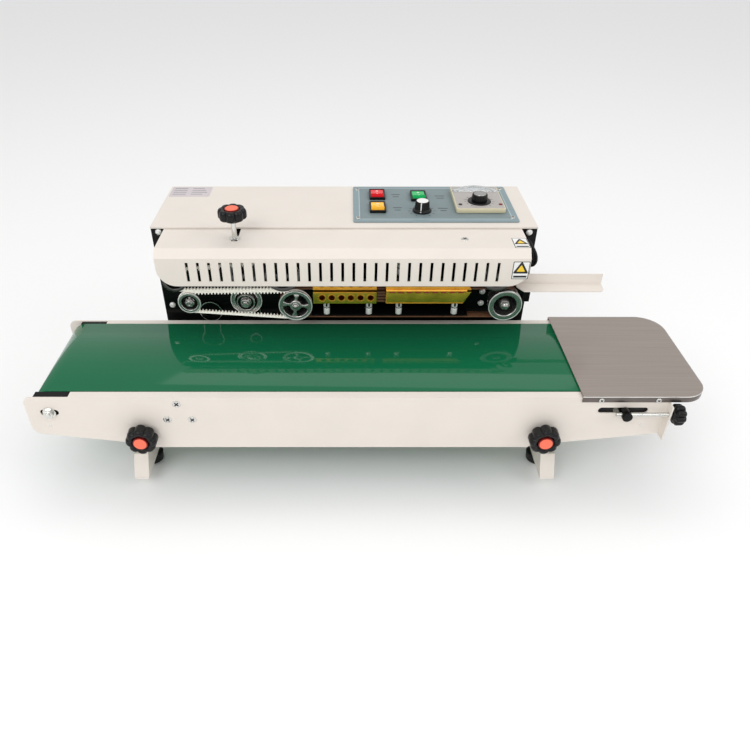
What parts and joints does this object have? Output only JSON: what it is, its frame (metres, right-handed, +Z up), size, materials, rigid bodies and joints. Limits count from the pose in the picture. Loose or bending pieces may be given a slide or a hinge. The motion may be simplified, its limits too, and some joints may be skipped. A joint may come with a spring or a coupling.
{
  "type": "continuous band sealer",
  "caption": "Table-top continuous band sealer: slotted sealing head with paired belts, wheels and heated blocks over an adjustable belt conveyor with an infeed plate.",
  "frame": {"origin": "on the table, at the centre of the machine's bounding box seen from above", "axes": "+Z up, +X along the conveyor towards the infeed plate, +Y towards the back of the head"},
  "size_m": [0.8424, 0.365, 0.3335],
  "materials": {
    "beige_paint": "smooth powder coat, warm beige",
    "black_paint": "gloss black",
    "green_belt": "glossy PVC conveyor belt",
    "stainless": "brushed stainless sheet",
    "polished_steel": "turned and polished steel",
    "sealing_belt": "brown coated glass-fibre belt",
    "guide_belt": "cream toothed belt",
    "chromate_metal": "yellow passivated block",
    "rubber": "black rubber",
    "black_plastic": "moulded black plastic",
    "control_plate": "blue-grey printed aluminium",
    "red_plastic": "translucent red rocker",
    "amber_plastic": "translucent amber rocker",
    "green_plastic": "translucent green rocker",
    "controller_plastic": "cream instrument case",
    "knob_cap": "coral press-in cap",
    "plated_screw": "nickel plated fastener",
    "clear_window": "clear moulded window",
    "label": "plain adhesive label"
  },
  "bodies": {
    "root": {"chassis": "black_paint", "head_cover": "beige_paint", "foot_rear_left": "rubber", "foot_rear_right": "rubber", "control_plate": "control_plate", "bezel_power": "black_plastic", "bezel_heater": "black_plastic", "bezel_fan": "black_plastic", "temp_controller": "controller_plastic", "front_guard": "beige_paint", "infeed_guide": "beige_paint", "guide_bracket": "black_paint", "heater_lower": "chromate_metal", "heater_upper": "chromate_metal", "cooler_lower": "chromate_metal", "cooler_upper": "chromate_metal", "block_carrier": "black_paint", "sealing_belt_lower": "sealing_belt", "sealing_belt_upper": "sealing_belt", "guide_belt_lower": "guide_belt", "guide_belt_upper": "guide_belt", "drive_motor": "black_paint", "cooling_fan": "black_plastic", "cable_gland": "black_plastic", "heater_lead": "rubber"},
    "carriage": {"support_arm_left": "beige_paint", "support_arm_right": "beige_paint", "foot_front_left": "rubber", "foot_front_right": "rubber"},
    "conveyor": {"conveyor_panel_front": "beige_paint", "conveyor_panel_rear": "beige_paint", "conveyor_bed": "black_paint", "conveyor_belt": "green_belt", "end_plate": "stainless"},
    "drive_lower": {"drive_wheel_lower": "polished_steel", "gear_lower": "polished_steel"},
    "drive_upper": {"drive_wheel_upper": "polished_steel", "gear_upper": "polished_steel"},
    "idler_wheel_lower": {"idler_wheel_lower": "polished_steel"},
    "idler_wheel_upper": {"idler_wheel_upper": "polished_steel"},
    "guide_pulley_lower": {"guide_pulley_lower": "polished_steel"},
    "guide_pulley_upper": {"guide_pulley_upper": "polished_steel"},
    "emboss_roller_lower": {"emboss_roller_lower": "polished_steel"},
    "emboss_roller_upper": {"emboss_roller_upper": "polished_steel"},
    "fan_rotor": {"fan_rotor": "black_plastic"},
    "rocker_power": {"rocker_power": "red_plastic"},
    "rocker_heater": {"rocker_heater": "amber_plastic"},
    "rocker_fan": {"rocker_fan": "green_plastic"},
    "speed_knob": {"speed_knob": "black_plastic"},
    "temp_dial": {"temp_dial": "black_plastic"},
    "pressure_knob": {"pressure_knob": "black_plastic"},
    "pressure_shoe": {"pressure_shoe": "polished_steel"},
    "head_roller": {"head_roller": "polished_steel"},
    "drive_roller": {"drive_roller": "polished_steel"},
    "tail_axle": {"tail_axle": "black_paint"},
    "tail_roller": {"tail_roller": "polished_steel"},
    "tension_screw_front": {"tension_screw_front": "black_plastic"},
    "tension_screw_rear": {"tension_screw_rear": "black_plastic"},
    "height_knob_left": {"height_knob_left": "black_plastic"},
    "height_knob_right": {"height_knob_right": "black_plastic"}
  },
  "joints": [
    {"name": "carriage_slide", "type": "slide", "parent": "root", "child": "carriage", "axis": [0, 1, 0], "range_m": [-0.025, 0]},
    {"name": "conveyor_lift", "type": "slide", "parent": "carriage", "child": "conveyor", "axis": [0, 0, 1], "range_m": [0, 0.015]},
    {"name": "drive_spin", "type": "hinge", "parent": "root", "child": "drive_lower", "pos_m": [-0.09225, -0.0055, 0.2012], "axis": [0, 1, 0], "continuous": true},
    {"name": "drive_upper_spin", "type": "hinge", "parent": "root", "child": "drive_upper", "pos_m": [-0.10775, -0.0055, 0.246], "axis": [0, 1, 0], "continuous": true},
    {"name": "idler_lower_spin", "type": "hinge", "parent": "root", "child": "idler_wheel_lower", "pos_m": [0.19025, -0.0055, 0.2012], "axis": [0, 1, 0], "continuous": true},
    {"name": "idler_upper_spin", "type": "hinge", "parent": "root", "child": "idler_wheel_upper", "pos_m": [0.17475, -0.0055, 0.246], "axis": [0, 1, 0], "continuous": true},
    {"name": "guide_pulley_lower_spin", "type": "hinge", "parent": "root", "child": "guide_pulley_lower", "pos_m": [-0.23465, -0.0055, 0.2056], "axis": [0, 1, 0], "continuous": true},
    {"name": "guide_pulley_upper_spin", "type": "hinge", "parent": "root", "child": "guide_pulley_upper", "pos_m": [-0.25065, -0.0055, 0.2382], "axis": [0, 1, 0], "continuous": true},
    {"name": "emboss_lower_spin", "type": "hinge", "parent": "root", "child": "emboss_roller_lower", "pos_m": [-0.15945, -0.0055, 0.204], "axis": [0, 1, 0], "continuous": true},
    {"name": "emboss_upper_spin", "type": "hinge", "parent": "root", "child": "emboss_roller_upper", "pos_m": [-0.15945, -0.0055, 0.2478], "axis": [0, 1, 0], "continuous": true},
    {"name": "head_roller_spin", "type": "hinge", "parent": "conveyor", "child": "head_roller", "pos_m": [-0.39275, -0.0695, 0.1315], "axis": [0, 1, 0], "continuous": true},
    {"name": "drive_roller_spin", "type": "hinge", "parent": "conveyor", "child": "drive_roller", "pos_m": [-0.23225, -0.0695, 0.1257], "axis": [0, 1, 0], "continuous": true},
    {"name": "tail_roller_spin", "type": "hinge", "parent": "tail_axle", "child": "tail_roller", "pos_m": [0.32075, -0.0695, 0.135], "axis": [0, 1, 0], "continuous": true},
    {"name": "fan_spin", "type": "hinge", "parent": "root", "child": "fan_rotor", "pos_m": [0.04475, 0.0695, 0.226], "axis": [0, 1, 0], "continuous": true},
    {"name": "tension_front_turn", "type": "hinge", "parent": "conveyor", "child": "tension_screw_front", "pos_m": [0.34475, -0.1675, 0.135], "axis": [1, 0, 0], "range_deg": [-1440, 0]},
    {"name": "tension_rear_turn", "type": "hinge", "parent": "conveyor", "child": "tension_screw_rear", "pos_m": [0.34475, 0.0255, 0.135], "axis": [1, 0, 0], "range_deg": [-1440, 0]},
    {"name": "tail_axle_slide", "type": "slide", "parent": "conveyor", "child": "tail_axle", "axis": [1, 0, 0], "range_m": [-0.005, 0]},
    {"name": "height_knob_left_turn", "type": "hinge", "parent": "conveyor", "child": "height_knob_left", "pos_m": [-0.28075, -0.1675, 0.0985], "axis": [0, 1, 0], "range_deg": [0, 360]},
    {"name": "height_knob_right_turn", "type": "hinge", "parent": "conveyor", "child": "height_knob_right", "pos_m": [0.22555, -0.1675, 0.0985], "axis": [0, 1, 0], "range_deg": [0, 360]},
    {"name": "pressure_turn", "type": "hinge", "parent": "root", "child": "pressure_knob", "pos_m": [-0.16725, -0.002, 0.32], "axis": [0, 0, 1], "range_deg": [-360, 0]},
    {"name": "pressure_shoe_slide", "type": "slide", "parent": "root", "child": "pressure_shoe", "axis": [0, 0, 1], "range_m": [-0.00125, 0]},
    {"name": "speed_turn", "type": "hinge", "parent": "root", "child": "speed_knob", "pos_m": [0.07995, 0.0735, 0.3], "axis": [0, 0, 1], "range_deg": [-150, 150]},
    {"name": "temp_turn", "type": "hinge", "parent": "root", "child": "temp_dial", "pos_m": [0.16045, 0.0905, 0.31], "axis": [0, 0, 1], "range_deg": [-150, 150]},
    {"name": "rocker_power_tilt", "type": "hinge", "parent": "root", "child": "rocker_power", "pos_m": [0.02005, 0.1278, 0.2993], "axis": [1, 0, 0], "range_deg": [0, 20]},
    {"name": "rocker_heater_tilt", "type": "hinge", "parent": "root", "child": "rocker_heater", "pos_m": [0.01935, 0.0821, 0.2993], "axis": [1, 0, 0], "range_deg": [0, 20]},
    {"name": "rocker_fan_tilt", "type": "hinge", "parent": "root", "child": "rocker_fan", "pos_m": [0.07895, 0.1223, 0.2993], "axis": [1, 0, 0], "range_deg": [0, 20]}
  ],
  "couplings": [
    {"joint": "drive_upper_spin", "follows": "drive_spin", "ratio": -1},
    {"joint": "idler_lower_spin", "follows": "drive_spin", "ratio": 1},
    {"joint": "idler_upper_spin", "follows": "drive_spin", "ratio": -1},
    {"joint": "guide_pulley_lower_spin", "follows": "drive_spin", "ratio": 1.412},
    {"joint": "guide_pulley_upper_spin", "follows": "drive_spin", "ratio": -1.412},
    {"joint": "emboss_lower_spin", "follows": "drive_spin", "ratio": 1.0278},
    {"joint": "emboss_upper_spin", "follows": "drive_spin", "ratio": -1.0278},
    {"joint": "head_roller_spin", "follows": "drive_spin", "ratio": 0.9867},
    {"joint": "tail_roller_spin", "follows": "drive_spin", "ratio": 1.1684},
    {"joint": "drive_roller_spin", "follows": "drive_spin", "ratio": 1.531},
    {"joint": "tension_front_turn", "follows": "tail_axle_slide", "rad_per_m": 5026.5},
    {"joint": "tension_rear_turn", "follows": "tail_axle_slide", "rad_per_m": 5026.5},
    {"joint": "pressure_turn", "follows": "pressure_shoe_slide", "rad_per_m": 5026.5}
  ]
}
